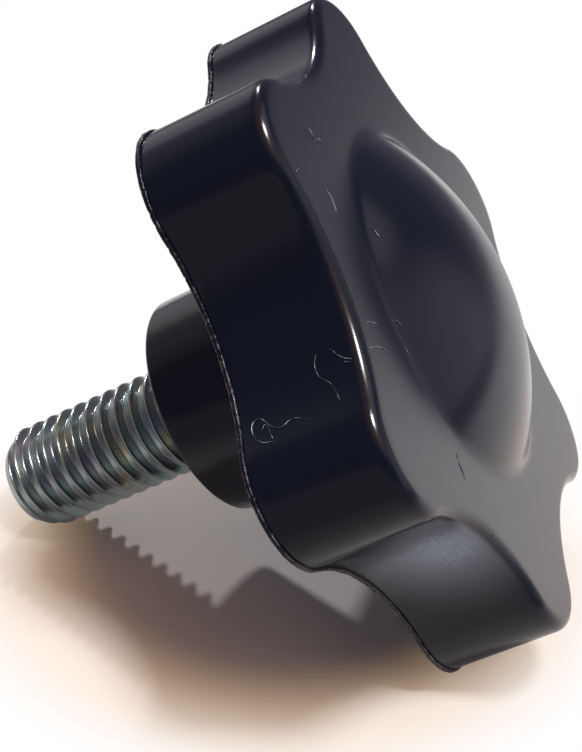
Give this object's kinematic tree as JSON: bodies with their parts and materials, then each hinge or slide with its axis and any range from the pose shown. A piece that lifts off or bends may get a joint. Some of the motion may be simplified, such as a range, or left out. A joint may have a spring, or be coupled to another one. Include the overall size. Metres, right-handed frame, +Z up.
{
  "type": "star knob screw",
  "caption": "Star knob screw: a lobed black plastic hand knob with a domed face, a cored back and a boss, moulded round a zinc-plated steel threaded stud.",
  "frame": {"origin": "middle of the bounding box's bottom, on the surface that the knob lies on", "axes": "+Z up, +Y across the lobes, +X to the face's side; the knob's own axis leans up from +X by 33.6 degrees, so the stud points down towards -X"},
  "size_m": [0.051, 0.0562, 0.047],
  "materials": {
    "knob_plastic": "black moulded plastic, semi-gloss, lightly scuffed",
    "zinc_steel": "bright zinc plating with a faint bluish and yellow tint"
  },
  "bodies": {
    "root": {"star_knob": "knob_plastic", "stud_bolt": "zinc_steel"}
  },
  "joints": []
}
